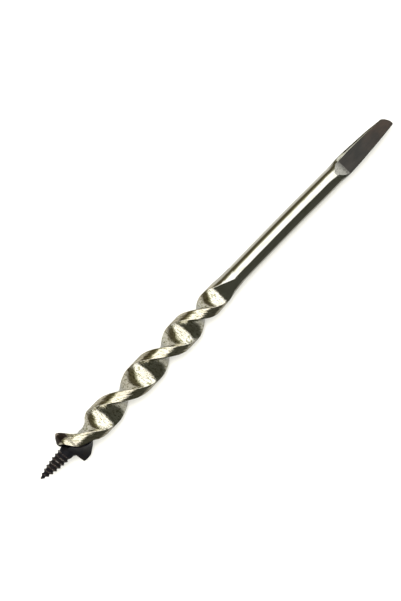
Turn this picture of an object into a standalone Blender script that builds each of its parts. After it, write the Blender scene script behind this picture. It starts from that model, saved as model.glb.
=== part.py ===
"""A screw-point auger bit: a black lead screw and side cutter, a solid bar twisted two turns to the
right, a round shank and a flat tang. It lies along X, with the screw at -X and the tang's flat up.

Every length is in millimetres and is turned into metres by MM. Stations are distances along the bit
from the point of the lead screw."""

import math

import bmesh
import bpy
from mathutils import Vector

MM = 0.001
GAP = 0.3  # between any two neighbouring pieces
SEAT_GAP = 0.4  # between the side cutter and the twisted face that it sits on

# Lead screw
THREAD_PITCH = 3.5
THREAD_DEPTH = 1.3
THREAD_SHARE = 0.36  # half the width of a ridge, as a share of the pitch
THREAD_CORE = 0.62  # smallest core at the fine point, as a share of the crest
THREAD_RUNOUT = 25.0
THREAD_CREST = ((0, 0.9), (3.75, 2.65), (7.5, 3.9), (11.25, 4.6), (15, 5.1), (25, 6.0))
THREAD_FADE = ((0, 0.1), (3.5, 0.8), (7, 1), (23.5, 1), (26.5, 0))
NECK_START = 27.0
NECK_END = 31.4
NECK_RADIUS = 5.6
COLLAR_RADIUS = 6.7
SPIGOT_RADIUS = 3.0
SPIGOT_LENGTH = 15.0

# Twisted bar: the part of a disc that lies between two flats, turned as it goes along
BAR_START = 27.4
BAR_FACE = 31.9
BAR_END = 211.7
BAR_HALF_THICK = 4.9
BAR_EDGE = 1.0  # rounding between a flat and the outside of the twist
LIP_STEP = BAR_FACE - BAR_START
LIP_REACH = 8.0
LIP_TIP_RADIUS = 10.4
LIP_FADE = 17.0  # the step between the lip's end and the bar's face dies out over this length
TWIST = ((27.4, 15), (33, 44), (43.5, 90), (50, 111), (57, 142), (65, 180), (88, 270), (133, 450),
         (172, 630), (190, 720), (196.5, 743), (212, 743))
TWIST_OUTSIDE = ((61, 11.6), (155, 11.6), (171, 10.7), (184, 9.5), (193.5, 9.2), (202.5, 8.1), (212, 7.5))
LIP_OUTSIDE = ((27.4, LIP_TIP_RADIUS), (30, 14.2), (33, 16.6), (36, 16.0), (38.5, 14.0), (43, 11.8))
OUTSIDE = LIP_OUTSIDE + TWIST_OUTSIDE
BACK_OUTSIDE = ((27.4, 9.5), (40, 11.4), (47.5, 7.4), (50.5, 7.2), (56.5, 10.2)) + TWIST_OUTSIDE
FLARE_HALF_THICK = ((193.5, 4.9), (199, 5.9), (205.5, 7.1), (210, 7.5), (212, 7.5))
LIP_HALF_THICK = ((27.4, 4.5), (31, 7.6), (36, 8.0), (43, 5.6), (48, 4.9)) + FLARE_HALF_THICK
BACK_HALF_THICK = ((27.4, 4.9), (44, 4.9), (49, 3.6), (52, 3.6), (57, 4.9)) + FLARE_HALF_THICK
TENON_RADIUS = 3.7
TENON_LENGTH = 16.0
SHOULDER = 0.05  # length of the square step down to a tenon or a spigot
LEAD_IN = 0.6  # chamfer at the end of a tenon or a spigot

# Side cutter: a black plate on the bar's first half turn, with a wing that reaches past the bar
WING_START = NECK_END + GAP
WING_END = 49.3
WING_RADIUS = ((31.7, 14.4), (34, 15.0), (38, 14.9), (42, 13.3), (45, 11.6), (49.5, 7.5))
WING_ANGLE = ((31.7, 195), (37.5, 201), (42.75, 213), (49.5, 226))
WING_SKIN = 1.2
WING_SINK = 1.5  # how far the wing's back corner lies below the bar's face
WING_EDGE = 0.9  # thickness of the wing's outer edge
WING_TOP = ((31.7, 9.0), (35, 12.5), (43, 9.4), (46, 6.5), (49.5, 1.0))
WING_BEND = ((31.7, 3.4), (37, 2.6), (43, 1.7), (49.5, 0.9))

# Shank and tang
SHANK_START = BAR_END + GAP
SHANK_END = 317.2
SHANK_RADIUS = 7.5
TANG_START = SHANK_END + GAP
TANG_FLAT_START = 325.5
SHOULDER_CURVE = 1.7  # above 1, the shoulder starts gently and steepens towards the flat
TANG_END = 374.8
TANG_HALF_THICK = 4.0
TANG_HALF_WIDTH = ((317.5, SHANK_RADIUS), (325.5, 7.8), (350, 6.6), (374.8, 4.6))
TANG_BEVEL = ((325.5, 2.6), (342, 1.7), (360, 1.1), (374.8, 0.9))
TANG_BEVEL_RISE = 0.38  # height of the wide bevel for each unit of its width
CORNER_POINTS = 6
TANG_NARROW_BEVEL = 0.7
TANG_END_LENGTH = 0.8
TANG_END_CHAMFER = 0.5
TANG_SLANT_START = 355.0
TANG_SLANT = 0.44  # the end runs back this much for each unit across
TANG_CROWN = 1.3

# Cross pins
PIN_RADIUS = 1.5
HEAD_PIN_STATION = 39.5
HEAD_PIN_LOW = -5.9
HEAD_PIN_HIGH = 8.4
FLUSH = SHANK_RADIUS - 0.15
PIN_INSET = 8.0
SHANK_PIN_STATION = SHANK_START + PIN_INSET
TANG_PIN_STATION = SHANK_END - PIN_INSET
CUTTER_REACH = 20.0  # half the length of a drill that makes a cross hole
OVERRUN = 5.0  # how far a bore's cutter sticks out of the end that it opens

# The bit is a little bowed: sideways offset of its middle line
BOW = ((0, 0.75), (24, 0.7), (45, -0.3), (130, -0.5), (160, -0.2), (195, 0.4), (212, 0.8), (250, 0.6),
       (279, 0.25), (300, -0.3), (375, -1.0))

FULL_ARC = 0.995  # a section this close to round still keeps a sliver of flat
SHARP_ANGLE = math.radians(35)
# Colour and roughness of each piece
LOOKS = {
    "lead_screw": ((0.02, 0.018, 0.02), 0.42),
    "side_cutter": ((0.02, 0.02, 0.024), 0.38),
    "twist_bar": ((0.62, 0.60, 0.52), 0.28),
    "shank": ((0.60, 0.58, 0.52), 0.25),
    "tang": ((0.20, 0.19, 0.18), 0.45),
    "head_pin": ((0.45, 0.43, 0.40), 0.35),
    "shank_pin": ((0.46, 0.44, 0.40), 0.35),
    "tang_pin": ((0.44, 0.42, 0.40), 0.35),
}


def along(knots, x):
    """Value at x of a smooth curve through (position, value) knots that never overshoots them."""
    if x <= knots[0][0]:
        return knots[0][1]
    if x >= knots[-1][0]:
        return knots[-1][1]
    slopes = [(b[1] - a[1]) / (b[0] - a[0]) for a, b in zip(knots, knots[1:])]
    tangents = [slopes[0]]
    for before, after in zip(slopes, slopes[1:]):
        product = before * after
        tangents.append(2 * product / (before + after) if product > 0 else 0.0)
    tangents.append(slopes[-1])
    i = next(k for k in range(len(slopes)) if x <= knots[k + 1][0])
    width = knots[i + 1][0] - knots[i][0]
    t = (x - knots[i][0]) / width
    start = knots[i][1] * (1 + 2 * t) * (1 - t) ** 2 + tangents[i] * width * t * (1 - t) ** 2
    end = knots[i + 1][1] * t * t * (3 - 2 * t) + tangents[i + 1] * width * t * t * (t - 1)
    return start + end


def smooth_step(t):
    t = min(max(t, 0.0), 1.0)
    return t * t * (3 - 2 * t)


def steps(start, end, spacing):
    """Evenly spaced stations from start to end, no further apart than spacing."""
    count = max(1, math.ceil((end - start) / spacing))
    return [start + (end - start) * k / count for k in range(count + 1)]


def turned(u, w, angle):
    """A section's point (u, w) turned about the bit's axis, as (y, z)."""
    c, s = math.cos(angle), math.sin(angle)
    return u * c - w * s, u * s + w * c


# ---------------------------------------------------------------- scene helpers


def finished(piece):
    """Give the piece its own steel."""
    colour, roughness = LOOKS[piece.name]
    steel = bpy.data.materials.new(piece.name + "_steel")
    steel.use_nodes = True
    shader = steel.node_tree.nodes["Principled BSDF"]
    shader.inputs["Base Color"].default_value = (*colour, 1.0)
    shader.inputs["Metallic"].default_value = 1.0
    shader.inputs["Roughness"].default_value = roughness
    piece.data.materials.append(steel)


def lofted(name, rings, origin):
    """A closed solid skinned over rings of (x, y, z), with its object's origin at station origin."""
    mesh = bmesh.new()
    rows = []
    for ring in rings:
        spots = [((x - origin) * MM, (y + along(BOW, x)) * MM, z * MM) for x, y, z in ring]
        rows.append([mesh.verts.new(spot) for spot in spots])
    count = len(rows[0])
    for row, after in zip(rows, rows[1:]):
        for k in range(count):
            nxt = (k + 1) % count
            mesh.faces.new((row[k], row[nxt], after[nxt]))
            mesh.faces.new((row[k], after[nxt], after[k]))
    for row in (rows[0], rows[-1]):
        middle = mesh.verts.new(sum((v.co for v in row), Vector()) / count)
        for k in range(count):
            mesh.faces.new((row[k], row[(k + 1) % count], middle))
    bmesh.ops.recalc_face_normals(mesh, faces=mesh.faces)
    return placed(name, mesh, (origin * MM, 0, 0))


def placed(name, mesh, location):
    """The finished mesh as an object on the bit's frame."""
    data = bpy.data.meshes.new(name)
    mesh.to_mesh(data)
    mesh.free()
    data.shade_smooth()
    data.set_sharp_from_angle(angle=SHARP_ANGLE)
    made = bpy.data.objects.new(name, data)
    bpy.context.scene.collection.objects.link(made)
    made.location = location
    made.parent = bit_frame
    return made


def circle(x, radius, count):
    """A round ring of count points at station x."""
    angles = [2 * math.pi * k / count for k in range(count)]
    return [(x, radius * math.cos(a), radius * math.sin(a)) for a in angles]


def round_bar(name, start, end, radius, count=24):
    """A plain round bar along the bit."""
    return lofted(name, [circle(start, radius, count), circle(end, radius, count)], start)


def cross_rod(name, station, low, high, radius, angle):
    """A straight round rod across the bit at station, from low to high along its own axis. Angle 0
    lays it along Z."""
    mesh = bmesh.new()
    bmesh.ops.create_cone(mesh, cap_ends=True, segments=20, radius1=radius * MM, radius2=radius * MM,
                          depth=(high - low) * MM)
    bmesh.ops.translate(mesh, verts=mesh.verts, vec=(0, 0, (low + high) / 2 * MM))
    rod = placed(name, mesh, (station * MM, along(BOW, station) * MM, 0))
    rod.rotation_euler = (angle, 0, 0)
    return rod


def as_cutter(tool):
    tool.hide_render = True
    tool.display_type = "WIRE"
    return tool


def cut(piece, *tools):
    for tool in tools:
        modifier = piece.modifiers.new("cut_" + tool.name, "BOOLEAN")
        modifier.operation = "DIFFERENCE"
        modifier.solver = "EXACT"
        modifier.object = tool


# ---------------------------------------------------------------- sections


def half_section(radius, half_thick, middle_half_thick, edge):
    """One half of the bar's section, anticlockwise from the lower flat to the upper flat: a flat, a
    rounded edge, the outside arc, a rounded edge and a flat."""
    edge_u = math.sqrt((radius - edge) ** 2 - (half_thick - edge) ** 2)
    lean = math.atan2(half_thick - edge, edge_u)
    upper = []
    for k in range(3):
        a = lean + (math.pi / 2 - lean) * k / 2
        upper.append((edge_u + edge * math.cos(a), half_thick - edge + edge * math.sin(a)))
    for share in (2 / 3, 1 / 3):
        w = middle_half_thick + (half_thick - middle_half_thick) * share
        upper.append((edge_u * share, w))
    lower = [(u, -w) for u, w in reversed(upper)]
    arc = []
    for k in range(1, 6):
        a = -lean + 2 * lean * k / 6
        arc.append((radius * math.cos(a), radius * math.sin(a)))
    return [(0.0, -middle_half_thick)] + lower + arc + upper


def bar_section(x, grow=0.0):
    """The bar's whole ring at station x, enlarged all round by grow."""
    front = along(OUTSIDE, x) + grow
    back = along(BACK_OUTSIDE, x) + grow
    front_half = min(along(LIP_HALF_THICK, x) + grow, FULL_ARC * front)
    back_half = min(along(BACK_HALF_THICK, x) + grow, FULL_ARC * back)
    middle = (front_half + back_half) / 2
    plus = half_section(front, front_half, middle, BAR_EDGE)
    minus = half_section(back, back_half, middle, BAR_EDGE)
    points = plus + [(-u, -w) for u, w in minus]
    angle = math.radians(along(TWIST, x))
    fade = 1 - smooth_step((x - BAR_START) / LIP_FADE)
    ring = []
    for u, w in points:
        y, z = turned(u, w, angle)
        step = LIP_STEP * fade * smooth_step((LIP_TIP_RADIUS - u) / LIP_REACH)
        ring.append((x + step, y, z))
    return ring


def tang_ring(x, half_width, half_height, bevel, roundness):
    """The tang's ring at station x. It goes from a disc between two flats (roundness 1) to a bar with
    bevelled edges (0). The bevels on the +Y top and -Y bottom edges are the wide ones."""
    arc_end = math.asin(min(half_height / half_width, 1.0))
    ring = []
    for quarter, (side, up) in enumerate(((1, 1), (-1, 1), (-1, -1), (1, -1))):
        wide = quarter in (0, 2)
        in_y = bevel if wide else TANG_NARROW_BEVEL
        in_z = bevel * TANG_BEVEL_RISE if wide else TANG_NARROW_BEVEL
        corner = []
        for k in range(1, CORNER_POINTS + 1):
            t = k / CORNER_POINTS
            arc_y, arc_z = half_width * math.cos(arc_end * t), half_width * math.sin(arc_end * t)
            up_side, over_bevel = min(2 * t, 1.0), max(2 * t - 1, 0.0)
            bar_y = half_width - in_y * over_bevel
            bar_z = (half_height - in_z) * up_side + in_z * over_bevel
            y = arc_y * roundness + bar_y * (1 - roundness)
            z = arc_z * roundness + bar_z * (1 - roundness)
            corner.append((x, side * y, up * z))
        ring += corner if quarter in (0, 2) else corner[::-1]
    return ring


# ---------------------------------------------------------------- pieces


def thread_radius(x, angle):
    """Outside of the lead screw: a tapered core with one sharp right-hand ridge round it."""
    phase = (x / THREAD_PITCH - angle / (2 * math.pi) + 0.5) % 1.0
    ridge = max(0.0, 1 - abs(phase - 0.5) / THREAD_SHARE)
    depth = THREAD_DEPTH * along(THREAD_FADE, x)
    neck = smooth_step((x - THREAD_RUNOUT) / (NECK_START - THREAD_RUNOUT))
    crest = along(THREAD_CREST, x)
    core = max(crest - THREAD_DEPTH, THREAD_CORE * crest)
    return (core + depth * ridge) * (1 - neck) + NECK_RADIUS * neck


def make_lead_screw():
    count = 20
    rings = [circle(0.0, 0.35, count)]
    for x in steps(0.5, NECK_START, THREAD_PITCH / 8):
        ring = []
        for k in range(count):
            a = 2 * math.pi * k / count
            r = thread_radius(x, a)
            ring.append((x, r * math.cos(a), r * math.sin(a)))
        rings.append(ring)
    end = NECK_END + SPIGOT_LENGTH
    for x, r in (
        (29.5, NECK_RADIUS),
        (30.6, COLLAR_RADIUS - 0.3),
        (NECK_END, COLLAR_RADIUS),
        (NECK_END + SHOULDER, SPIGOT_RADIUS),
        (end - LEAD_IN, SPIGOT_RADIUS),
        (end, SPIGOT_RADIUS - LEAD_IN),
    ):
        rings.append(circle(x, r, count))
    return lofted("lead_screw", rings, 0.0)


def bar_stations():
    head = steps(BAR_START, 48, 1.4)
    twist = steps(48, 192, 2.4)
    flare = steps(192, BAR_END, 1.5)
    return head + twist[1:] + flare[1:]


def make_twist_bar():
    rings = [bar_section(x) for x in bar_stations()]
    count = len(rings[0])
    tenon_end = BAR_END + TENON_LENGTH
    # the tenon's ring starts at the same place as the bar's, at the middle of the lower flat
    for x, r in (
        (BAR_END + SHOULDER, TENON_RADIUS),
        (tenon_end - LEAD_IN, TENON_RADIUS),
        (tenon_end, TENON_RADIUS - LEAD_IN),
    ):
        ring = circle(x, r, count)
        shift = 3 * count // 4
        rings.append(ring[shift:] + ring[:shift])
    return lofted("twist_bar", rings, BAR_START)


def wing_ring(x):
    """Section of the side cutter before the bar is taken out of it."""
    angle = math.radians(along(TWIST, x))
    lip_half = along(LIP_HALF_THICK, x)
    middle_half = (lip_half + BAR_HALF_THICK) / 2
    top = Vector(turned(along(WING_TOP, x), lip_half + WING_SKIN, angle))
    bend = Vector(turned(1.0, middle_half + along(WING_BEND, x), angle))
    edge_angle = math.radians(along(WING_ANGLE, x))
    radius = along(WING_RADIUS, x)
    edge = Vector((radius * math.cos(edge_angle), radius * math.sin(edge_angle)))
    bottom = Vector(turned(1 - along(BACK_OUTSIDE, x), BAR_HALF_THICK - WING_SINK, angle))
    blunt = (bottom - edge).normalized() * WING_EDGE
    outline = []
    for k in range(7):
        t = k / 6
        outline.append(top * (1 - t) ** 2 + bend * 2 * t * (1 - t) + edge * t * t)
    outline += [edge + blunt, (edge + bottom) / 2 + blunt / 2, bottom]
    outline += [Vector(turned(-5, 0, angle)), Vector(turned(5, 0, angle))]
    return [(x, p.x, p.y) for p in outline]


def make_side_cutter():
    rings = [wing_ring(x) for x in steps(WING_START, WING_END, 1.4)]
    return lofted("side_cutter", rings, WING_START)


def make_shank():
    rings = [circle(x, SHANK_RADIUS, 28) for x in steps(SHANK_START, SHANK_END, 11)]
    return lofted("shank", rings, SHANK_START)


def make_tang():
    count = 4 * CORNER_POINTS
    start = TANG_START - TENON_LENGTH
    rings = [
        circle(start, TENON_RADIUS - LEAD_IN, count),
        circle(start + LEAD_IN, TENON_RADIUS, count),
        circle(TANG_START - SHOULDER, TENON_RADIUS, count),
    ]
    stations = steps(TANG_START, TANG_FLAT_START, 2) + steps(TANG_FLAT_START, TANG_END, 7)[1:]
    stations.insert(-1, TANG_END - TANG_END_LENGTH)
    for x in stations:
        half_width = along(TANG_HALF_WIDTH, x)
        share = min((x - TANG_START) / (TANG_FLAT_START - TANG_START), 1.0) ** SHOULDER_CURVE
        half_height = SHANK_RADIUS * FULL_ARC + (TANG_HALF_THICK - SHANK_RADIUS * FULL_ARC) * share
        trim = TANG_END_CHAMFER if x == TANG_END else 0.0
        ring = tang_ring(x, half_width - trim, half_height - trim, along(TANG_BEVEL, x), 1 - share)
        back = smooth_step((x - TANG_SLANT_START) / (TANG_END - TANG_SLANT_START))
        slanted = []
        for px, y, z in ring:
            across = (y + half_width) / (2 * half_width)
            push = TANG_SLANT * (y + half_width) - TANG_CROWN * 4 * across * (1 - across)
            slanted.append((px - back * push, y, z))
        rings.append(slanted)
    return lofted("tang", rings, TANG_START)


def stand_on_ground():
    """Move the bit's frame so that the middle of the underside of its box is the origin."""
    bpy.context.view_layer.update()
    graph = bpy.context.evaluated_depsgraph_get()
    corners = []
    for piece in pieces:
        solid = piece.evaluated_get(graph)
        corners += [solid.matrix_world @ v.co for v in solid.data.vertices]
    low = [min(c[i] for c in corners) for i in range(3)]
    high = [max(c[i] for c in corners) for i in range(3)]
    bit_frame.location = (-(low[0] + high[0]) / 2, -(low[1] + high[1]) / 2, -low[2])


# ---------------------------------------------------------------- assembly

for old in list(bpy.data.objects):
    bpy.data.objects.remove(old)

bit_frame = bpy.data.objects.new("bit_frame", None)
bpy.context.scene.collection.objects.link(bit_frame)

lead_screw = make_lead_screw()
side_cutter = make_side_cutter()
twist_bar = make_twist_bar()
shank = make_shank()
tang = make_tang()

head_angle = math.radians(along(TWIST, HEAD_PIN_STATION))
pins = {}
holes = {}
for place, station, low, high, angle in (
    ("head", HEAD_PIN_STATION, HEAD_PIN_LOW, HEAD_PIN_HIGH, head_angle),
    ("shank", SHANK_PIN_STATION, -FLUSH, FLUSH, math.pi / 2),
    ("tang", TANG_PIN_STATION, -FLUSH, FLUSH, math.pi / 2),
):
    pins[place] = cross_rod(place + "_pin", station, low, high, PIN_RADIUS, angle)
    drill = cross_rod(place + "_hole", station, -CUTTER_REACH, CUTTER_REACH, PIN_RADIUS + GAP, angle)
    holes[place] = as_cutter(drill)

mouth = BAR_START - OVERRUN
neck_room = as_cutter(round_bar("neck_room", mouth, BAR_FACE, COLLAR_RADIUS + GAP))
spigot_end = NECK_END + SPIGOT_LENGTH + GAP
spigot_bore = as_cutter(round_bar("spigot_bore", mouth, spigot_end, SPIGOT_RADIUS + GAP))
room_stations = [BAR_START - GAP] + bar_stations()
bar_room = as_cutter(lofted("bar_room", [bar_section(x, SEAT_GAP) for x in room_stations], BAR_START))
bore_radius = TENON_RADIUS + GAP
front_end = BAR_END + TENON_LENGTH + GAP
front_bore = as_cutter(round_bar("front_bore", SHANK_START - OVERRUN, front_end, bore_radius))
rear_end = TANG_START - TENON_LENGTH - GAP
rear_bore = as_cutter(round_bar("rear_bore", rear_end, SHANK_END + OVERRUN, bore_radius))

cut(lead_screw, holes["head"])
cut(side_cutter, bar_room, holes["head"])
cut(twist_bar, neck_room, spigot_bore, holes["head"], holes["shank"])
cut(shank, front_bore, rear_bore, holes["shank"], holes["tang"])
cut(tang, holes["tang"])

pieces = (lead_screw, side_cutter, twist_bar, shank, tang, *pins.values())
for piece in pieces:
    finished(piece)
stand_on_ground()
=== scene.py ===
"""Looks for the screw-point auger bit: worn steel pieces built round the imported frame, which they
never move, on a pale floor under a soft studio light.

Lengths are in millimetres until the meshes are made, and MM turns them into metres. A station is the
distance along the bit from the point of its lead screw. A section's own axes are u, across the bar,
and w, square to its flats, and both turn with the twist."""

import math

import bpy
import numpy as np
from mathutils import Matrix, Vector, noise


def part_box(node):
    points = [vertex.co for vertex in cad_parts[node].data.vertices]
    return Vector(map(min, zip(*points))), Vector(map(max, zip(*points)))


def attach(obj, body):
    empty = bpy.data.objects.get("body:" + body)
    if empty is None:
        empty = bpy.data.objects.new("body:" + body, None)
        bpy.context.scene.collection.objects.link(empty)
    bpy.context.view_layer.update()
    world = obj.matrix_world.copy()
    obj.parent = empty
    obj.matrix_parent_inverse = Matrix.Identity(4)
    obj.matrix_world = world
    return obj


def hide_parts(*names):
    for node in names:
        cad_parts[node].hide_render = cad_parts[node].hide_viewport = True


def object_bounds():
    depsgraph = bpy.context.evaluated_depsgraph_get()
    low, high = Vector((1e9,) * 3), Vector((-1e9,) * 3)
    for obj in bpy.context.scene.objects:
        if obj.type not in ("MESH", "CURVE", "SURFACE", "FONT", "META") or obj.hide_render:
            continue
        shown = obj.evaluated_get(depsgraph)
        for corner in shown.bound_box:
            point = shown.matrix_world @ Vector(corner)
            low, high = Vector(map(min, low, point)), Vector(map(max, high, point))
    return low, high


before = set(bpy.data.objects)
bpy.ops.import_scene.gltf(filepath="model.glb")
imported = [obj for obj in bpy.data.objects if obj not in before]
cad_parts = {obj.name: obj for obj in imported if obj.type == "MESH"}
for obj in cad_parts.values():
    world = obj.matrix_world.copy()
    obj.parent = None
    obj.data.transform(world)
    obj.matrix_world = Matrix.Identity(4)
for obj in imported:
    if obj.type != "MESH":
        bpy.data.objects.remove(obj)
cad_low, cad_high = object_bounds()

MM = 0.001


def station(x):
    """The station of a point at x in the frame."""
    return (x - cad_low.x) / MM


# ---------------------------------------------------------------- what the frame gives

cutter_low, cutter_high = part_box("side_cutter")
bar_low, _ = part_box("twist_bar")
shank_low, shank_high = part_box("shank")
head_pin_low, head_pin_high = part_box("head_pin")
shank_pin_low, shank_pin_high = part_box("shank_pin")
tang_pin_low, tang_pin_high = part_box("tang_pin")

SHANK_START = station(shank_low.x)
SHANK_END = station(shank_high.x)
SHANK_RADIUS = (shank_high.z - shank_low.z) / 2 / MM
AXIS_Z = (shank_high.z + shank_low.z) / 2
HEAD_PIN_STATION = station((head_pin_low.x + head_pin_high.x) / 2)
SHANK_PIN_STATION = station((shank_pin_low.x + shank_pin_high.x) / 2)
TANG_PIN_STATION = station((tang_pin_low.x + tang_pin_high.x) / 2)
PIN_RADIUS = (tang_pin_high.z - tang_pin_low.z) / 2 / MM

SEAM = 0.05  # what shows between two neighbouring pieces
PIN_PROUD = 0.04  # how far a pin's ends stand out of the rod's true round

# Lead screw
THREAD_PITCH = 3.5
THREAD_DEPTH = 1.3
THREAD_SHARE = 0.36  # half the width of a ridge, as a share of the pitch
THREAD_CREST = ((0, 0.9), (3.75, 2.65), (7.5, 3.9), (11.25, 4.6), (15, 5.1), (25, 6.0))
THREAD_FADE = ((0, 0.1), (3.5, 0.8), (7, 1), (23.5, 1), (26.5, 0))
THREAD_CORE = 0.62
THREAD_RUNOUT = 25.0
NECK_START = 27.0
NECK_END = 31.4
NECK_RADIUS = 5.6
COLLAR_RADIUS = 6.7
SPIGOT_RADIUS = 3.0
SPIGOT_LENGTH = 15.0

# Twisted bar
BAR_START = station(bar_low.x)
BAR_END = SHANK_START - SEAM
BAR_FACE = 31.9
BAR_HALF_THICK = 4.9
BAR_EDGE = 0.5
LIP_STEP = BAR_FACE - BAR_START
LIP_REACH = 8.0
LIP_TIP_RADIUS = 10.4
LIP_FADE = 17.0
TWIST = ((27.4, 15), (33, 44), (43.5, 90), (50, 111), (57, 142), (65, 180), (88, 270), (133, 450),
         (172, 630), (190, 720), (196.5, 743), (212, 743))
TWIST_OUTSIDE = ((61, 11.6), (155, 11.6), (171, 10.7), (184, 9.5), (193.5, 9.2), (202.5, 8.1), (212, 7.5))
LIP_OUTSIDE = ((27.4, LIP_TIP_RADIUS), (30, 14.2), (33, 16.6), (36, 16.0), (38.5, 14.0), (43, 11.8))
OUTSIDE = LIP_OUTSIDE + TWIST_OUTSIDE
BACK_OUTSIDE = ((27.4, 9.5), (40, 11.4), (47.5, 7.4), (50.5, 7.2), (56.5, 10.2)) + TWIST_OUTSIDE
FLARE_HALF_THICK = ((193.5, 4.9), (199, 5.9), (205.5, 7.1), (210, 7.5), (212, 7.5))
LIP_HALF_THICK = ((27.4, 4.5), (31, 7.6), (36, 8.0), (43, 5.6), (48, 4.9)) + FLARE_HALF_THICK
BACK_HALF_THICK = ((27.4, 4.9), (44, 4.9), (49, 3.6), (52, 3.6), (57, 4.9)) + FLARE_HALF_THICK
TENON_RADIUS = 3.7
TENON_LENGTH = 16.0
LEAD_IN = 0.6  # chamfer at the end of a tenon or a spigot
BORE_GAP = 0.3
FULL_ARC = 0.995  # a section this close to round still keeps a sliver of flat

# Side cutter
WING_START = station(cutter_low.x)
WING_END = station(cutter_high.x)
WING_RADIUS = ((31.7, 14.4), (34, 15.0), (38, 14.9), (42, 13.3), (45, 11.6), (49.5, 7.5))
WING_ANGLE = ((31.7, 195), (37.5, 201), (42.75, 213), (49.5, 226))
WING_SKIN = 1.2
WING_SINK = 1.5
WING_EDGE = 0.9
WING_TOP = ((31.7, 9.0), (35, 12.5), (43, 9.4), (46, 6.5), (49.5, 1.0))
WING_BEND = ((31.7, 3.4), (37, 2.6), (43, 1.7), (49.5, 0.9))

# Tang
TANG_START = SHANK_END + SEAM
TANG_FLAT_START = 325.5
SHOULDER_CURVE = 1.7  # above 1, the shoulder starts gently and steepens towards the flat
TANG_END = 374.8
TANG_HALF_THICK = 4.0
TANG_HALF_WIDTH = ((317.5, SHANK_RADIUS), (325.5, 7.8), (350, 6.6), (374.8, 4.6))
TANG_BEVEL = ((325.5, 2.6), (342, 1.7), (360, 1.1), (374.8, 0.9))
TANG_BEVEL_RISE = 0.38  # height of the wide bevel for each unit of its width
TANG_NARROW_BEVEL = 0.7
TANG_RIM = 0.62  # share of the wide bevel that stays dark along its outer edge
TANG_RIM_START = (330, 336)  # stations between which that dark share begins
TANG_SHOULDER_BARE = 0.42  # how bare the shoulder's sloping flat is
TANG_ROUNDING = 0.45
TANG_SLANT = 0.44
TANG_SLANT_START = 355.0
TANG_CROWN = 1.3

# How finely the bar's section is drawn
FLAT_POINTS = 9
EDGE_POINTS = 6
ARC_POINTS = 37

# Uneven places of the steel
SWELLING = 0.5  # height of the low swelling along the rod's top
SWELLING_RISE = (-32, 5)  # degrees from the top, towards +Y, between which it rises
SWELLING_FALL = (35, 135)  # and between which it dies out
SWELLING_START = (190, 202)  # stations on the bar between which it begins
FACET_START = -0.6  # sideways offset where the first land's facet begins
FACET_WIDTH = 8.0
FACET_SLOPE = 0.13
FACET_BEGIN = (37, 40)  # stations between which the facet deepens
FACET_END = (49, 53)  # and between which it runs out

# Colours of the head: how far out, or between which stations, each one comes and goes
# the bar's upper flats near the head are coloured near black
HEAD_FLAT_BLACK_END = (46, 49)
# the lip's far end is painted dark brown: partly heat tint, partly a painted dark reflection of the studio's
# brown side
TINT_AND_REFLECTION_OUT = (7.9, 9.1)
TINT_AND_REFLECTION_END = (37.5, 39.5)
CLEAN_OUT = (13.6, 14.5)
CLEAN_END = (33.5, 35)

# The bit is a little bowed: sideways offset of its middle line
BOW = ((0, 0.75), (24, 0.7), (45, -0.3), (130, -0.5), (160, -0.2), (195, 0.4), (212, 0.8), (250, 0.6),
       (279, 0.25), (300, -0.3), (375, -1.0))


# ---------------------------------------------------------------- curves and fields


def curve(knots, x):
    """Values at x of a smooth curve through (position, value) knots that never overshoots them."""
    at, value = np.array(knots, float).T
    width = np.diff(at)
    slope = np.diff(value) / width
    product = slope[:-1] * slope[1:]
    total = np.where(product > 0, slope[:-1] + slope[1:], 1.0)
    inner = np.where(product > 0, 2 * product / total, 0.0)
    tangent = np.concatenate(([slope[0]], inner, [slope[-1]]))
    x = np.clip(x, at[0], at[-1])
    i = np.clip(np.searchsorted(at, x) - 1, 0, len(slope) - 1)
    t = (x - at[i]) / width[i]
    start = value[i] * (1 + 2 * t) * (1 - t) ** 2 + tangent[i] * width[i] * t * (1 - t) ** 2
    end = value[i + 1] * t * t * (3 - 2 * t) + tangent[i + 1] * width[i] * t * t * (t - 1)
    return start + end


def smooth_step(t):
    t = np.clip(t, 0.0, 1.0)
    return t * t * (3 - 2 * t)


def fade_in(x, start, end):
    """0 before start, 1 past end, with a smooth rise between them."""
    return smooth_step((x - start) / (end - start))


def steps(start, end, spacing):
    """Evenly spaced stations from start to end, no further apart than spacing."""
    count = max(1, math.ceil((end - start) / spacing))
    return list(np.linspace(start, end, count + 1))


def turned(u, w, angle):
    """A section's point (u, w) turned about the bit's axis, as (y, z)."""
    c, s = np.cos(angle), np.sin(angle)
    return u * c - w * s, u * s + w * c


def rough_field(spots, scale, seed, octaves=2):
    """Soft random values from about -1 to 1 at the spots, with scale cycles per unit on each axis."""
    stretched = np.asarray(spots) * scale
    offset = Vector((seed * 17.3, seed * 5.9, seed * 11.1))
    values = []
    for spot in stretched.reshape(-1, 3):
        point = Vector(spot) + offset
        total = 0.0
        for octave in range(octaves):
            total += noise.noise(point * 2**octave) / 2**octave
        values.append(total)
    return np.array(values).reshape(stretched.shape[:-1])


# ---------------------------------------------------------------- meshes


def in_frame(points):
    """Stations and section offsets as metres in the frame, with the bow."""
    placed = np.empty_like(points)
    placed[..., 0] = cad_low.x + points[..., 0] * MM
    placed[..., 1] = AXIS_Y + (points[..., 1] + curve(BOW, points[..., 0])) * MM
    placed[..., 2] = AXIS_Z + points[..., 2] * MM
    return placed


def pushed(points, amount):
    """Rings of points moved out along the skin's own normal by amount."""
    along = np.gradient(points, axis=0)
    around = np.roll(points, -1, axis=1) - np.roll(points, 1, axis=1)
    normal = np.cross(around, along)
    length = np.linalg.norm(normal, axis=-1, keepdims=True)
    normal /= np.where(length > 1e-9, length, 1.0)
    middle = points.mean(axis=1, keepdims=True)
    outward = np.sign(np.sum(normal * (points - middle), axis=-1).sum())
    return points + outward * normal * amount[..., None]


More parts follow.
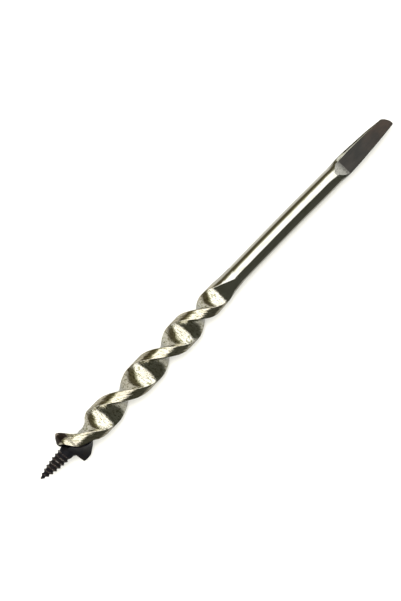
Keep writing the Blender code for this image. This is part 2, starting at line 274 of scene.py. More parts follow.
def grown(points, amount):
    """Rings of points moved straight out from the bit's axis by amount."""
    reach = np.hypot(points[..., 1], points[..., 2])
    moved = points.copy()
    moved[..., 1:] *= (1 + amount / np.maximum(reach, 1.0))[..., None]
    return moved


def skinned(name, rings, values=None, skin=None, sharp=38):
    """A closed piece over rings of points. The values are named numbers for each point, and skin is
    the place that each point has in the steel, for its materials."""
    count, around = rings.shape[:2]
    flat = in_frame(rings).reshape(-1, 3)
    ends = [in_frame(rings[k].mean(axis=0)) for k in (0, -1)]
    verts = [tuple(p) for p in flat] + [tuple(p) for p in ends]
    faces = []
    for i in range(count - 1):
        for k in range(around):
            nxt = (k + 1) % around
            faces.append((i * around + k, i * around + nxt, (i + 1) * around + nxt, (i + 1) * around + k))
    first, last = len(flat), len(flat) + 1
    for k in range(around):
        nxt = (k + 1) % around
        faces.append((nxt, k, first))
        faces.append(((count - 1) * around + k, (count - 1) * around + nxt, last))
    mesh = bpy.data.meshes.new(name)
    mesh.from_pydata(verts, [], faces)
    mesh.validate()
    if signed_volume(mesh) < 0:
        mesh.flip_normals()
    mesh.shade_smooth()
    mesh.set_sharp_from_angle(angle=math.radians(sharp))
    own = rings if skin is None else skin
    own = np.concatenate([own.reshape(-1, 3), own[0].mean(axis=0)[None], own[-1].mean(axis=0)[None]])
    spots = mesh.attributes.new("skin", "FLOAT_VECTOR", "POINT")
    spots.data.foreach_set("vector", own.astype(np.float32).ravel())
    for key, numbers in (values or {}).items():
        numbers = np.concatenate([numbers.ravel(), [numbers[0].mean(), numbers[-1].mean()]])
        mesh.attributes.new(key, "FLOAT", "POINT").data.foreach_set("value", numbers.astype(np.float32))
    piece = bpy.data.objects.new(name, mesh)
    bpy.context.scene.collection.objects.link(piece)
    return piece


def signed_volume(mesh):
    total = 0.0
    for face in mesh.polygons:
        corners = [mesh.vertices[i].co for i in face.vertices]
        for k in range(1, len(corners) - 1):
            total += corners[0].dot(corners[k].cross(corners[k + 1]))
    return total


def round_rings(profile, count):
    """Round rings from (station, radius) pairs."""
    angles = 2 * np.pi * np.arange(count) / count
    return np.array([[(x, r * math.cos(a), r * math.sin(a)) for a in angles] for x, r in profile])


def fitted(piece, node, steel):
    """Put the piece in place of its CAD node, with its finish."""
    piece.data.materials.append(steel)
    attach(piece, "root")
    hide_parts(node)
    return piece


# ---------------------------------------------------------------- pieces


def make_lead_screw():
    count = 96
    angles = 2 * np.pi * np.arange(count) / count
    xs = np.array(steps(0.25, NECK_START, 0.14))[:, None]
    phase = (xs / THREAD_PITCH - angles / (2 * np.pi) + 0.5) % 1.0
    ridge = np.clip(1 - np.abs(phase - 0.5) / THREAD_SHARE, 0, 1)
    ridge = np.minimum(ridge * 1.04, 0.96)
    neck = fade_in(xs, THREAD_RUNOUT, NECK_START)
    crest = curve(THREAD_CREST, xs)
    core = np.maximum(crest - THREAD_DEPTH, THREAD_CORE * crest)
    depth = THREAD_DEPTH * curve(THREAD_FADE, xs)
    radius = (core + depth * ridge) * (1 - neck) + NECK_RADIUS * neck
    body = np.stack([xs + 0 * angles, radius * np.cos(angles), radius * np.sin(angles)], axis=-1)
    body = pushed(body, 0.05 * rough_field(body, (0.9, 0.9, 0.9), 1))
    end = NECK_END + SPIGOT_LENGTH
    neck_profile = [(x, NECK_RADIUS) for x in steps(NECK_START + 0.2, 29.5, 0.3)]
    neck_profile += [(30.6, COLLAR_RADIUS - 0.3), (NECK_END, COLLAR_RADIUS), (NECK_END, SPIGOT_RADIUS),
                     (end - LEAD_IN, SPIGOT_RADIUS), (end, SPIGOT_RADIUS - LEAD_IN)]
    tail = round_rings(neck_profile, count)
    tip = round_rings([(0.0, 0.28)], count)
    rings = np.concatenate([tip, body, tail])
    # the crest values carry the thread's brown wear and its painted grey glints
    worn = np.concatenate([np.zeros((1, count)), ridge * (1 - neck), np.zeros((len(tail), count))])
    return skinned("lead_screw_piece", rings, {"crest": worn}, sharp=60)


def half_outline(radius, half_thick, middle_half_thick):
    """One half of the bar's section, from the middle of its lower flat round to the upper one, as
    (u, w, land), where land goes from 0 on a flat to 1 on the outside of the twist."""
    edge_u = math.sqrt((radius - BAR_EDGE) ** 2 - (half_thick - BAR_EDGE) ** 2)
    lean = math.atan2(half_thick - BAR_EDGE, edge_u)
    upper = []
    for k in range(EDGE_POINTS):
        t = k / (EDGE_POINTS - 1)
        a = lean + (math.pi / 2 - lean) * t
        upper.append((edge_u + BAR_EDGE * math.cos(a), half_thick - BAR_EDGE + BAR_EDGE * math.sin(a), 1 - t))
    for k in range(1, FLAT_POINTS):
        share = 1 - k / FLAT_POINTS
        w = middle_half_thick + (half_thick - middle_half_thick) * share
        upper.append((edge_u * share, w, 0.0))
    lower = [(u, -w, land) for u, w, land in reversed(upper)]
    arc = []
    for k in range(1, ARC_POINTS):
        a = -lean + 2 * lean * k / ARC_POINTS
        arc.append((radius * math.cos(a), radius * math.sin(a), 1.0))
    return [(0.0, -middle_half_thick, 0.0)] + lower + arc + upper


def bar_outline(x):
    """The bar's whole section at station x, as (u, w, land)."""
    front, back = curve(OUTSIDE, x), curve(BACK_OUTSIDE, x)
    front_half = min(curve(LIP_HALF_THICK, x), FULL_ARC * front)
    back_half = min(curve(BACK_HALF_THICK, x), FULL_ARC * back)
    middle = (front_half + back_half) / 2
    plus = half_outline(front, front_half, middle)
    minus = half_outline(back, back_half, middle)
    return plus + [(-u, -w, land) for u, w, land in minus]


def rod_swelling(rings):
    """How far the rod stands out of a true round."""
    from_top = np.degrees(np.arctan2(rings[..., 1], rings[..., 2]))
    return SWELLING * fade_in(from_top, *SWELLING_RISE) * (1 - fade_in(from_top, *SWELLING_FALL))


def make_twist_bar():
    xs = np.array(steps(BAR_START, 48, 0.35) + steps(48, 192, 0.5)[1:] + steps(192, BAR_END, 0.3)[1:])
    outline = np.array([bar_outline(x) for x in xs])
    u, w, land = outline[..., 0], outline[..., 1], outline[..., 2]
    at = xs[:, None] + 0 * u
    y, z = turned(u, w, np.radians(curve(TWIST, xs))[:, None])
    fade = 1 - fade_in(at, BAR_START, BAR_START + LIP_FADE)
    step = LIP_STEP * fade * smooth_step((LIP_TIP_RADIUS - u) / LIP_REACH)
    rings = np.stack([at + step, y, z], axis=-1)
    steel = np.stack([at, u, w], axis=-1)
    on_flat = rough_field(steel, (0.42, 0.13, 0.3), 2)
    on_land = rough_field(steel, (0.16, 0.2, 0.55), 3)
    dents = 0.05 * on_flat * (1 - land) + 0.09 * on_land * land
    # the first land falls away in a flatter facet below its middle, where it was hammered
    fall = np.clip(FACET_START - rings[..., 1], 0.0, FACET_WIDTH) * smooth_step(rings[..., 2] / 4)
    facet = FACET_SLOPE * fall * fade_in(at, *FACET_BEGIN) * (1 - fade_in(at, *FACET_END))
    past_facet = np.maximum(np.hypot(rings[..., 1], rings[..., 2]) - curve(OUTSIDE, at) + facet, 0.0)
    hammered = np.where(facet > 0, past_facet, 0.0)
    swelling = rod_swelling(rings) * fade_in(at, *SWELLING_START)
    settle = fade_in(at, BAR_START, BAR_START + 1.5) * (1 - fade_in(at, BAR_END - 13, BAR_END - 1))
    rings = grown(pushed(rings, dents * settle), swelling - hammered)
    count = rings.shape[1]
    tenon = round_rings([(BAR_END, TENON_RADIUS), (BAR_END + TENON_LENGTH - LEAD_IN, TENON_RADIUS),
                         (BAR_END + TENON_LENGTH, TENON_RADIUS - LEAD_IN)], count)
    # the tenon's rings start at the same place as the bar's, at the middle of the lower flat
    tenon = np.roll(tenon, -(3 * count // 4), axis=1)
    # the upper flats near the head are coloured near black
    head_flat_black = (w > 0) * (1 - fade_in(land, 0.75, 1.0)) * (1 - fade_in(at, *HEAD_FLAT_BLACK_END))
    everything = np.concatenate([rings, tenon])
    pad = np.zeros((len(tenon), count))
    out = rings[..., 1] + 0.8 * rough_field(rings, (0.5, 0.5, 0.5), 8)
    # painted dark brown on the lip's end, partly heat tint and partly a painted reflection
    tint_and_reflection = fade_in(out, *TINT_AND_REFLECTION_OUT) * (1 - fade_in(at, *TINT_AND_REFLECTION_END))
    clean = fade_in(out, *CLEAN_OUT) * (1 - fade_in(at, *CLEAN_END))
    values = {
        "land": np.concatenate([land, pad]),
        "head_flat_black": np.concatenate([head_flat_black, pad]),
        "tint_and_reflection": np.concatenate([tint_and_reflection, pad]),
        "clean": np.concatenate([clean, pad]),
    }
    skin = np.concatenate([steel, tenon])
    return skinned("twist_bar_piece", everything, values, skin, sharp=50)


def wing_outline(x):
    """Section of the side cutter at station x, with its inner corners inside the bar."""
    angle = math.radians(curve(TWIST, x))
    lip_half = curve(LIP_HALF_THICK, x)
    middle_half = (lip_half + BAR_HALF_THICK) / 2
    top = np.array(turned(curve(WING_TOP, x), lip_half + WING_SKIN, angle))
    bend = np.array(turned(1.0, middle_half + curve(WING_BEND, x), angle))
    edge_angle = math.radians(curve(WING_ANGLE, x))
    edge = curve(WING_RADIUS, x) * np.array((math.cos(edge_angle), math.sin(edge_angle)))
    bottom = np.array(turned(1 - curve(BACK_OUTSIDE, x), BAR_HALF_THICK - WING_SINK, angle))
    inward = bottom - edge
    blunt = inward / np.linalg.norm(inward) * WING_EDGE
    outline = []
    for t in np.linspace(0, 1, 25):
        outline.append(top * (1 - t) ** 2 + bend * 2 * t * (1 - t) + edge * t * t)
    for t in np.linspace(0.34, 1, 3):
        outline.append(edge + blunt * t)
    for t in np.linspace(0.2, 1, 5):
        outline.append((edge + blunt) * (1 - t) + bottom * t)
    outline.append(np.array(turned(-5, 0, angle)))
    outline.append(np.array(turned(5, 0, angle)))
    return [(x, y, z) for y, z in outline]


def make_side_cutter():
    rings = np.array([wing_outline(x) for x in steps(WING_START, WING_END, 0.4)])
    return skinned("side_cutter_piece", rings, {"crest": np.zeros(rings.shape[:2])}, sharp=40)


def make_shank():
    count = 96
    bore = TENON_RADIUS + BORE_GAP
    xs = steps(SHANK_START, SHANK_END, 0.8)
    body = round_rings([(x, SHANK_RADIUS) for x in xs], count)
    waves = rough_field(body, (0.05, 0.16, 0.16), 4)
    ripples = rough_field(body, (0.25, 0.5, 0.5), 5)
    at = body[..., 0]
    settle = fade_in(at, SHANK_START, SHANK_START + 3) * (1 - fade_in(at, SHANK_END - 3, SHANK_END))
    swelling = rod_swelling(body) * (1 - fade_in(at, SHANK_END - 9, SHANK_END))
    body = grown(pushed(body, (0.04 * waves + 0.008 * ripples) * settle), swelling)
    front = round_rings([(SHANK_START + TENON_LENGTH + BORE_GAP, bore), (SHANK_START, bore)], count)
    rear = round_rings([(SHANK_END, bore), (SHANK_END - TENON_LENGTH - BORE_GAP, bore)], count)
    return skinned("shank_piece", np.concatenate([front, body, rear]), sharp=40)


def tang_corner(half_width, half_height, bevel, rise, roundness, rim):
    """One corner of the tang's section, from its side round to its flat, as (y, z, bare), where bare is
    1 on the bevel, apart from its outer share rim. It goes from an arc of the shank's own round
    (roundness 1) to an upright side, a rounded edge and a bevel (0). The arc is bare too."""
    lean = math.atan2(rise, bevel)
    foot = half_height - rise - TANG_ROUNDING
    bar = [(half_width, foot * share, 0.0) for share in (0.1, 0.5, 0.9)]
    for a in np.linspace(0, math.pi / 2 - lean, 6):
        bar.append((half_width - TANG_ROUNDING * (1 - math.cos(a)), foot + TANG_ROUNDING * math.sin(a), 0.0))
    edge_y, edge_z, _ = bar[-1]
    for t in np.linspace(0, 1, 8)[1:]:
        bare = float(fade_in(t, rim - 0.15, rim))
        bar.append((edge_y + (half_width - bevel - edge_y) * t, edge_z + (half_height - edge_z) * t, bare))
    arc_end = math.asin(min(half_height / half_width, 1.0))
    corner = []
    for k, (y, z, bare) in enumerate(bar):
        a = arc_end * k / (len(bar) - 1)
        round_y, round_z = half_width * math.cos(a), half_width * math.sin(a)
        corner.append((round_y * roundness + y * (1 - roundness),
                       round_z * roundness + z * (1 - roundness), max(bare, roundness)))
    return corner


def tang_outline(half_width, half_height, bevel, roundness, facet, rim):
    """The tang's whole section as (y, z, bare). Its wide bevels are on the +Y top and -Y bottom, facet
    is how bare its flats are, and rim is the dark share of the wide bevels."""
    wide = tang_corner(half_width, half_height, bevel, bevel * TANG_BEVEL_RISE, roundness, rim)
    narrow = tang_corner(half_width, half_height, TANG_NARROW_BEVEL, TANG_NARROW_BEVEL, roundness, 0.0)
    outline = []
    for corner, side, up in ((wide, 1, 1), (narrow, -1, 1), (wide, -1, -1), (narrow, 1, -1)):
        kept = 1.0 if corner is wide else 0.3 + 0.7 * roundness
        part = [(side * y, up * z, bare * kept) for y, z, bare in corner]
        flat_y, flat_z, _ = part[-1]
        part[-1] = (flat_y, flat_z, facet)
        if side == up:
            outline += part
            outline += [(flat_y * (1 - 2 * t), flat_z, facet) for t in np.linspace(0, 1, 14)[1:-1]]
        else:
            outline += part[::-1]
    return outline


def make_tang():
    xs = steps(TANG_START, TANG_FLAT_START, 0.25) + steps(TANG_FLAT_START, TANG_END - 1.0, 0.6)[1:]
    trims = [0.0] * len(xs)
    for share in (0.35, 0.7, 1.0):
        xs.append(TANG_END - 1.0 + share)
        trims.append(0.5 * share**2)
    rings = []
    values = []
    for x, trim in zip(xs, trims):
        half_width = float(curve(TANG_HALF_WIDTH, x))
        share = min((x - TANG_START) / (TANG_FLAT_START - TANG_START), 1.0) ** SHOULDER_CURVE
        half_height = SHANK_RADIUS * FULL_ARC + (TANG_HALF_THICK - SHANK_RADIUS * FULL_ARC) * share
        back = float(fade_in(x, TANG_SLANT_START, TANG_END))
        shoulder = 1 - float(fade_in(x, TANG_FLAT_START - 0.6, TANG_FLAT_START + 0.6))
        ring = []
        worn = []
        bevel = float(curve(TANG_BEVEL, x))
        rim = TANG_RIM * float(fade_in(x, *TANG_RIM_START))
        facet = TANG_SHOULDER_BARE * shoulder
        outline = tang_outline(half_width - trim, half_height - trim, bevel, 1 - share, facet, rim)
        for y, z, bare in outline:
            across = (y + half_width) / (2 * half_width)
            push = TANG_SLANT * (y + half_width) - TANG_CROWN * 4 * across * (1 - across)
            ring.append((x - back * push, y, z))
            worn.append(bare)
        rings.append(ring)
        values.append(worn)
    body = np.array(rings, float)
    values = np.array(values, float)
    body = pushed(body, 0.03 * rough_field(body, (0.25, 0.3, 0.3), 6))
    count = body.shape[1]
    start = TANG_START - TENON_LENGTH
    tenon = round_rings([(start, TENON_RADIUS - LEAD_IN), (start + LEAD_IN, TENON_RADIUS),
                         (TANG_START, TENON_RADIUS)], count)
    worn = np.concatenate([np.zeros((3, count)), values])
    return skinned("tang_piece", np.concatenate([tenon, body]), {"worn": worn}, sharp=24)


def make_pin(name, station_at, low, high, angle, low_cap, high_cap):
    """A round pin across the bit at a station, from low to high along its own axis. Its ends follow
    the round of radius low_cap and high_cap, or are flat where that is None."""
    count = 32
    angles = 2 * np.pi * np.arange(count) / count
    rings = []
    for level, cap, outwards in ((low, low_cap, -1), (high, high_cap, 1)):
        shares = (0.3, 0.7, 0.93, 1.0) if outwards < 0 else (1.0, 0.93, 0.7, 0.3)
        end = []
        for share in shares:
            r = PIN_RADIUS * share
            ring = []
            for a in angles:
                along_x, across = r * math.cos(a), r * math.sin(a)
                drop = 0.06 if share == 1.0 else 0.0
                fall = cap - math.sqrt(cap * cap - across * across) if cap else 0.0
                height = level - outwards * (fall + drop)
                y, z = turned(across, height, angle)
                ring.append((station_at + along_x, y, z))
            end.append(ring)
        rings += end
    return skinned(name, np.array(rings), sharp=50)


# ---------------------------------------------------------------- materials


class Steel:
    """A material under construction, with short ways to add its nodes."""

    def __init__(self, name, colour, roughness, metallic):
        self.material = bpy.data.materials.new(name)
        self.material.use_nodes = True
        self.tree = self.material.node_tree
        self.shader = self.tree.nodes["Principled BSDF"]
        self.set("Base Color", (*colour, 1.0))
        self.set("Roughness", roughness)
        self.set("Metallic", metallic)

    def set(self, socket, value):
        self.shader.inputs[socket].default_value = value

    def link(self, source, target):
        self.tree.links.new(source, target)

    def value(self, name):
        node = self.tree.nodes.new("ShaderNodeAttribute")
        node.attribute_name = name
        return node.outputs["Fac"]

    def skin(self, stretch=(1, 1, 1), shift=0.0):
        """The place in the steel, in millimetres, stretched on each axis."""
        node = self.tree.nodes.new("ShaderNodeAttribute")
        node.attribute_name = "skin"
        mapping = self.tree.nodes.new("ShaderNodeMapping")
        mapping.inputs["Scale"].default_value = stretch
        mapping.inputs["Location"].default_value = (shift, shift * 0.7, shift * 1.3)
        self.link(node.outputs["Vector"], mapping.inputs["Vector"])
        return mapping.outputs["Vector"]

    def cloud(self, vector, scale=1.0, detail=3.0, roughness=0.55):
        node = self.tree.nodes.new("ShaderNodeTexNoise")
        node.inputs["Scale"].default_value = scale
        node.inputs["Detail"].default_value = detail
        node.inputs["Roughness"].default_value = roughness
        self.link(vector, node.inputs["Vector"])
        return node.outputs["Fac"]

    def between(self, source, low, high, to_low=0.0, to_high=1.0):
        """A source's range from low to high, spread over to_low to to_high with soft ends."""
        node = self.tree.nodes.new("ShaderNodeMapRange")
        node.interpolation_type = "SMOOTHSTEP"
        node.inputs["From Min"].default_value = low
        node.inputs["From Max"].default_value = high
        node.inputs["To Min"].default_value = to_low
        node.inputs["To Max"].default_value = to_high
        self.link(source, node.inputs["Value"])
        return node.outputs["Result"]

    def maths(self, operation, a, b):
        node = self.tree.nodes.new("ShaderNodeMath")
        node.operation = operation
        for socket, source in zip(node.inputs, (a, b)):
            if isinstance(source, (int, float)):
                socket.default_value = source
            else:
                self.link(source, socket)
        return node.outputs["Value"]

    def mix(self, share, a, b):
        """Colour a where share is 0 and colour b where it is 1."""
        node = self.tree.nodes.new("ShaderNodeMix")
        node.data_type = "RGBA"
        for socket, source in ((node.inputs[0], share), (node.inputs[6], a), (node.inputs[7], b)):
            if isinstance(source, tuple):
                socket.default_value = (*source, 1.0)
            else:
                self.link(source, socket)
        return node.outputs[2]

    def bump(self, height, distance, strength=1.0, below=None):
        node = self.tree.nodes.new("ShaderNodeBump")
        node.inputs["Distance"].default_value = distance * MM
        node.inputs["Strength"].default_value = strength
        self.link(height, node.inputs["Height"])
        if below:
            self.link(below, node.inputs["Normal"])
        return node.outputs["Normal"]

    def done(self, colour=None, roughness=None, normal=None):
        for socket, source in (("Base Color", colour), ("Roughness", roughness), ("Normal", normal)):
            if source is not None:
                self.link(source, self.shader.inputs[socket])
        return self.material


def bright_steel():
    """Forged and ground steel: bright, with olive and brown scale left in its hollows. It is smoother
    where it runs into the shank."""
    steel = Steel("bright_forged_steel", (0.66, 0.64, 0.56), 0.2, 1.0)
    steel.set("Specular Tint", (0.6, 0.6, 0.6, 1.0))
    land = steel.value("land")
    place = steel.tree.nodes.new("ShaderNodeSeparateXYZ")
    steel.link(steel.skin(), place.inputs[0])
    rougher = steel.between(place.outputs["X"], 191.0, 198.0, 1.0, 0.78)
    across = steel.cloud(steel.skin((0.80, 0.28, 0.6)), 1.0, 5.0, 0.65)
    lengthways = steel.cloud(steel.skin((0.34, 0.7, 1.0), 31.0), 1.0, 5.0, 0.65)
    patches = steel.maths("ADD", steel.maths("MULTIPLY", across, steel.maths("SUBTRACT", 1.0, land)),
                          steel.maths("MULTIPLY", lengthways, land))
    patches = steel.maths("MULTIPLY", patches, rougher)
    specks = steel.maths("MULTIPLY", steel.cloud(steel.skin((1.3, 1.0, 1.3), 57.0), 1.0, 3.0), rougher)
    broad = steel.cloud(steel.skin((0.06, 0.1, 0.1), 11.0), 1.0, 2.0)
    ground = steel.mix(land, (0.84, 0.81, 0.71), (0.84, 0.78, 0.65))
    ground = steel.mix(steel.between(place.outputs["X"], 191.0, 198.0), ground, (0.76, 0.74, 0.68))
    olive = steel.mix(steel.between(patches, 0.53, 0.59), ground, (0.34, 0.33, 0.19))
    brown = steel.mix(steel.between(specks, 0.57, 0.67), olive, (0.22, 0.19, 0.11))
    tinted = steel.mix(steel.between(broad, 0.45, 0.65, 0.0, 0.3), brown, (0.46, 0.40, 0.30))
    # dark brown on the lip's end: partly heat tint, partly a painted dark reflection
    with_tint_and_reflection = steel.mix(steel.value("tint_and_reflection"), tinted, (0.050, 0.036, 0.028))
    cleaned = steel.mix(steel.value("clean"), with_tint_and_reflection, (0.46, 0.39, 0.32))
    # near black on the upper flats near the head
    with_head_flat_black = steel.mix(steel.value("head_flat_black"), cleaned, (0.012, 0.012, 0.014))
    rough = steel.between(patches, 0.4, 0.62, 0.07, 0.17)
    dull = steel.maths("MAXIMUM", steel.value("head_flat_black"), steel.value("tint_and_reflection"))
    rough = steel.maths("ADD", rough, steel.maths("MULTIPLY", dull, 0.3))
    marks = steel.bump(patches, 0.18, 0.8)
    grain = steel.bump(specks, 0.05, 0.5, marks)
    return steel.done(with_head_flat_black, rough, grain)


def drawn_steel():
    """Drawn bar: bright and smooth, with fine lines along its length."""
    steel = Steel("drawn_steel", (0.66, 0.64, 0.58), 0.14, 1.0)
    lines = steel.cloud(steel.skin((0.035, 1.6, 1.6)), 1.0, 3.0)
    patches = steel.cloud(steel.skin((0.09, 0.35, 0.35), 23.0), 1.0, 4.0)
    specks = steel.cloud(steel.skin((0.9, 1.1, 1.1), 41.0), 1.0, 2.0)
    base = steel.mix(steel.between(patches, 0.5, 0.7, 0.0, 0.6), (0.74, 0.72, 0.66), (0.58, 0.56, 0.44))
    base = steel.mix(steel.between(specks, 0.68, 0.78), base, (0.30, 0.27, 0.19))
    rough = steel.between(lines, 0.3, 0.7, 0.06, 0.14)
    fine = steel.bump(lines, 0.02, 0.5)
    soft = steel.bump(patches, 0.05, 0.4, fine)
    return steel.done(base, rough, soft)


def dark_steel():
    """Dark forge finish that turns brown towards the tang's end and is ground bright on its bevels."""
    steel = Steel("dark_forge_steel", (0.05, 0.047, 0.043), 0.4, 1.0)
    grain = steel.cloud(steel.skin((0.8, 0.9, 0.9)), 1.0, 4.0)
    broad = steel.cloud(steel.skin((0.07, 0.12, 0.12), 13.0), 1.0, 3.0)
    scratches = steel.cloud(steel.skin((0.12, 1.5, 1.5), 71.0), 1.0, 3.0)
    place = steel.tree.nodes.new("ShaderNodeSeparateXYZ")
    steel.link(steel.skin(), place.inputs[0])
    towards_end = steel.between(place.outputs["X"], 340.0, 366.0)
    body = steel.mix(towards_end, (0.052, 0.048, 0.044), (0.064, 0.050, 0.042))
    body = steel.mix(steel.between(broad, 0.42, 0.66, 0.0, 0.6), body, (0.033, 0.034, 0.033))
    worn = steel.maths("MULTIPLY", steel.value("worn"), steel.between(grain, 0.3, 0.52, 0.45, 1.0))
    colour = steel.mix(worn, body, (0.70, 0.69, 0.63))
    rough = steel.between(scratches, 0.3, 0.7, 0.32, 0.48)
    rough = steel.maths("SUBTRACT", rough, steel.maths("MULTIPLY", worn, 0.24))
    fine = steel.bump(scratches, 0.03, 0.5)
    coarse = steel.bump(grain, 0.06, 0.6, fine)
    return steel.done(colour, rough, coarse)


def black_steel():
    """Blackened steel, worn to brown on the crests of the thread, with grey glints painted on them as
    highlights.
    """
    steel = Steel("blackened_steel", (0.007, 0.007, 0.008), 0.4, 0.0)
    steel.set("Specular IOR Level", 0.06)
    grain = steel.cloud(steel.skin((1.1, 1.1, 1.1)), 1.0, 4.0)
    broad = steel.cloud(steel.skin((0.16, 0.16, 0.16), 19.0), 1.0, 3.0)
    specks = steel.cloud(steel.skin((0.8, 1.4, 1.4), 37.0), 1.0, 2.0)
    body = steel.mix(steel.between(broad, 0.4, 0.65), (0.0070, 0.0070, 0.0092), (0.0095, 0.0078, 0.0076))
    ridge = steel.value("crest")
    worn = steel.maths("MULTIPLY", steel.between(ridge, 0.2, 0.9), steel.between(grain, 0.42, 0.6))
    brown = steel.mix(worn, body, (0.036, 0.025, 0.020))
    # grey specks on the crests are a painted highlight, standing in for glints of light
    painted_glint = steel.maths("MULTIPLY", steel.between(ridge, 0.5, 0.9), steel.between(specks, 0.55, 0.66))
    colour = steel.mix(painted_glint, brown, (0.30, 0.28, 0.26))
    rough = steel.between(grain, 0.3, 0.7, 0.28, 0.44)
    marks = steel.bump(grain, 0.08, 0.6)
    return steel.done(colour, rough, marks)


def pin_steel(name, clean, dull):
    """The cross pins' ends, ground flush, from clean to dull in patches."""
    steel = Steel(name, clean, 0.3, 1.0)
    grain = steel.cloud(steel.skin((1.5, 2.5, 2.5)), 1.0, 4.0)
    colour = steel.mix(steel.between(grain, 0.4, 0.62), clean, dull)
    rough = steel.between(grain, 0.3, 0.7, 0.2, 0.38)
    return steel.done(colour, rough, steel.bump(grain, 0.03, 0.6))


# ---------------------------------------------------------------- build

AXIS_Y = (tang_pin_low.y + tang_pin_high.y) / 2 - float(curve(BOW, TANG_PIN_STATION)) * MM

bright = bright_steel()
drawn = drawn_steel()
dark = dark_steel()
black = black_steel()
ground = pin_steel("ground_pin_steel", (0.58, 0.56, 0.50), (0.34, 0.32, 0.24))
blackened = pin_steel("blackened_pin_steel", (0.010, 0.010, 0.012), (0.016, 0.013, 0.012))

fitted(make_lead_screw(), "lead_screw", black)
fitted(make_side_cutter(), "side_cutter", black)
fitted(make_twist_bar(), "twist_bar", bright)
fitted(make_shank(), "shank", drawn)
fitted(make_tang(), "tang", dark)

PIN_REACH = SHANK_RADIUS + PIN_PROUD
for place, pin_station in (("shank", SHANK_PIN_STATION), ("tang", TANG_PIN_STATION)):
    pin = make_pin(place + "_pin_piece", pin_station, -PIN_REACH, PIN_REACH, math.pi / 2, PIN_REACH,
                   PIN_REACH)
    fitted(pin, place + "_pin", ground)

HEAD_PIN_LOW = -5.9
HEAD_PIN_HIGH = 8.4
head_angle = math.radians(curve(TWIST, HEAD_PIN_STATION))
head_pin = make_pin("head_pin_piece", HEAD_PIN_STATION, HEAD_PIN_LOW, HEAD_PIN_HIGH, head_angle, None, None)
fitted(head_pin, "head_pin", blackened)


# ---------------------------------------------------------------- floor, light and camera

# The studio as the steel sees it: angle from straight up, positive towards +Y, and its light
STUDIO = (
    (-180, (0.60, 0.60, 0.56)),
    (-132, (0.60, 0.60, 0.56)),
    (-112, (0.072, 0.073, 0.058)),
    (-29, (0.058, 0.060, 0.046)),
    (-21, (1.6, 1.6, 1.55)),
    (40, (1.6, 1.6, 1.55)),
    (47, (0.62, 0.62, 0.44)),
    (54, (0.28, 0.27, 0.16)),
    (60, (0.098, 0.085, 0.046)),
    (92, (0.080, 0.069, 0.039)),
    (103, (0.60, 0.58, 0.52)),
    (140, (0.80, 0.80, 0.75)),
    (180, (0.80, 0.80, 0.75)),
)
SKEW = 0.5  # how far the soft light's +Y edge leans towards +X, in radians
FILL = (1.42, 1.40, 1.31)  # what paper and other dull things get from all round
PALE = (0.96, 0.96, 0.95)


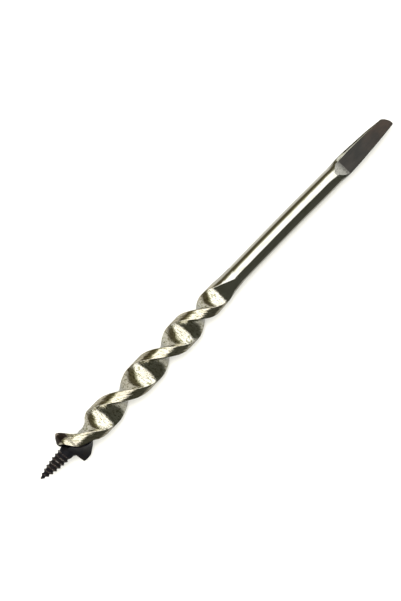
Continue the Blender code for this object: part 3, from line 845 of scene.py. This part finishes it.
def make_world():
    """A studio of bands that run along the bit: a wide soft light overhead, dark cloth on both sides
    and pale floor low down. The camera itself sees a plain pale backdrop."""
    world = bpy.data.worlds.new("studio")
    bpy.context.scene.world = world
    world.use_nodes = True
    tree = world.node_tree
    background = tree.nodes["Background"]
    direction = tree.nodes.new("ShaderNodeTexCoord")
    parts = tree.nodes.new("ShaderNodeSeparateXYZ")
    angle = tree.nodes.new("ShaderNodeMath")
    angle.operation = "ARCTAN2"
    lean = tree.nodes.new("ShaderNodeMapRange")
    lean.interpolation_type = "SMOOTHSTEP"
    lean.inputs["From Min"].default_value = math.radians(-15)
    lean.inputs["From Max"].default_value = math.radians(50)
    lean.inputs["To Max"].default_value = -SKEW
    upright = tree.nodes.new("ShaderNodeMapRange")
    upright.interpolation_type = "SMOOTHSTEP"
    upright.inputs["From Min"].default_value = math.radians(60)
    upright.inputs["From Max"].default_value = math.radians(105)
    upright.inputs["To Min"].default_value = 1.0
    upright.inputs["To Max"].default_value = 0.0
    slant = tree.nodes.new("ShaderNodeMath")
    slant.operation = "MULTIPLY"
    shift = tree.nodes.new("ShaderNodeMath")
    shift.operation = "MULTIPLY_ADD"
    share = tree.nodes.new("ShaderNodeMapRange")
    share.inputs["From Min"].default_value = -math.pi
    share.inputs["From Max"].default_value = math.pi
    ramp = tree.nodes.new("ShaderNodeValToRGB")
    while len(ramp.color_ramp.elements) < len(STUDIO):
        ramp.color_ramp.elements.new(0.5)
    for element, (degrees, colour) in zip(ramp.color_ramp.elements, STUDIO):
        element.position = (degrees + 180) / 360
        element.color = (*colour, 1.0)
    along = tree.nodes.new("ShaderNodeMath")
    along.operation = "ABSOLUTE"
    ends = tree.nodes.new("ShaderNodeMapRange")
    ends.inputs["From Min"].default_value = 0.88
    ends.inputs["From Max"].default_value = 0.97
    end_mix = tree.nodes.new("ShaderNodeMix")
    end_mix.data_type = "RGBA"
    end_mix.inputs[7].default_value = (0.5, 0.5, 0.47, 1.0)
    path = tree.nodes.new("ShaderNodeLightPath")
    seen = tree.nodes.new("ShaderNodeMix")
    seen.data_type = "RGBA"
    seen.inputs[7].default_value = (*PALE, 1.0)
    fill = tree.nodes.new("ShaderNodeMix")
    fill.data_type = "RGBA"
    fill.inputs[7].default_value = (*FILL, 1.0)
    for source, target in (
        (direction.outputs["Generated"], parts.inputs[0]),
        (parts.outputs["Y"], angle.inputs[0]),
        (parts.outputs["Z"], angle.inputs[1]),
        (angle.outputs[0], lean.inputs["Value"]),
        (parts.outputs["X"], shift.inputs[0]),
        (angle.outputs[0], upright.inputs["Value"]),
        (lean.outputs[0], slant.inputs[0]),
        (upright.outputs[0], slant.inputs[1]),
        (slant.outputs[0], shift.inputs[1]),
        (angle.outputs[0], shift.inputs[2]),
        (shift.outputs[0], share.inputs["Value"]),
        (share.outputs[0], ramp.inputs[0]),
        (parts.outputs["X"], along.inputs[0]),
        (along.outputs[0], ends.inputs["Value"]),
        (ends.outputs[0], end_mix.inputs[0]),
        (ramp.outputs["Color"], end_mix.inputs[6]),
        (path.outputs["Is Diffuse Ray"], fill.inputs[0]),
        (end_mix.outputs[2], fill.inputs[6]),
        (path.outputs["Is Camera Ray"], seen.inputs[0]),
        (fill.outputs[2], seen.inputs[6]),
        (seen.outputs[2], background.inputs["Color"]),
    ):
        tree.links.new(source, target)


def make_floor():
    """A large pale floor that doesn't show from below."""
    half = 4.0
    mesh = bpy.data.meshes.new("floor")
    corners = [(-half, -half, 0), (half, -half, 0), (half, half, 0), (-half, half, 0)]
    mesh.from_pydata(corners, [], [(0, 1, 2, 3)])
    floor = bpy.data.objects.new("floor", mesh)
    bpy.context.scene.collection.objects.link(floor)
    paper = bpy.data.materials.new("paper")
    paper.use_nodes = True
    tree = paper.node_tree
    shader = tree.nodes["Principled BSDF"]
    shader.inputs["Base Color"].default_value = (0.86, 0.86, 0.85, 1.0)
    shader.inputs["Roughness"].default_value = 0.9
    shader.inputs["Specular IOR Level"].default_value = 0.0
    clear = tree.nodes.new("ShaderNodeBsdfTransparent")
    side = tree.nodes.new("ShaderNodeNewGeometry")
    either = tree.nodes.new("ShaderNodeMixShader")
    tree.links.new(side.outputs["Backfacing"], either.inputs[0])
    tree.links.new(shader.outputs[0], either.inputs[1])
    tree.links.new(clear.outputs[0], either.inputs[2])
    tree.links.new(either.outputs[0], tree.nodes["Material Output"].inputs["Surface"])
    mesh.materials.append(paper)
    floor.visible_glossy = False


def make_key():
    """A soft box high on the +Y side, which the steel doesn't mirror."""
    light = bpy.data.lights.new("key", "AREA")
    light.shape = "RECTANGLE"
    light.size = 0.8
    light.size_y = 0.6
    light.energy = 11.0
    light.color = (1.0, 0.99, 0.96)
    key = bpy.data.objects.new("key", light)
    key.location = (0.0, 0.35, 1.2)
    key.rotation_euler = key.location.to_track_quat("Z", "Y").to_euler()
    key.visible_glossy = False
    key.visible_camera = False
    bpy.context.scene.collection.objects.link(key)


# The camera looks straight down. The bit points up to the right in its picture.
VIEW_TURN = math.radians(-46.19)
VIEW_HEIGHT = 450.8  # what the picture's height covers at the bit's axis
VIEW_STATION = 179.42
VIEW_SIDE = 6.96
LENS = 100.0
SENSOR = 36.0


def make_camera():
    data = bpy.data.cameras.new("camera")
    data.lens = LENS
    data.sensor_width = SENSOR
    data.clip_end = 50.0
    camera = bpy.data.objects.new("camera", data)
    distance = VIEW_HEIGHT * LENS / SENSOR * MM
    camera.location = (cad_low.x + VIEW_STATION * MM, AXIS_Y + VIEW_SIDE * MM, AXIS_Z + distance)
    camera.rotation_euler = (0, 0, VIEW_TURN)
    bpy.context.scene.collection.objects.link(camera)
    bpy.context.scene.camera = camera


make_world()
make_floor()
make_key()
make_camera()
bpy.context.scene.view_settings.view_transform = "Standard"
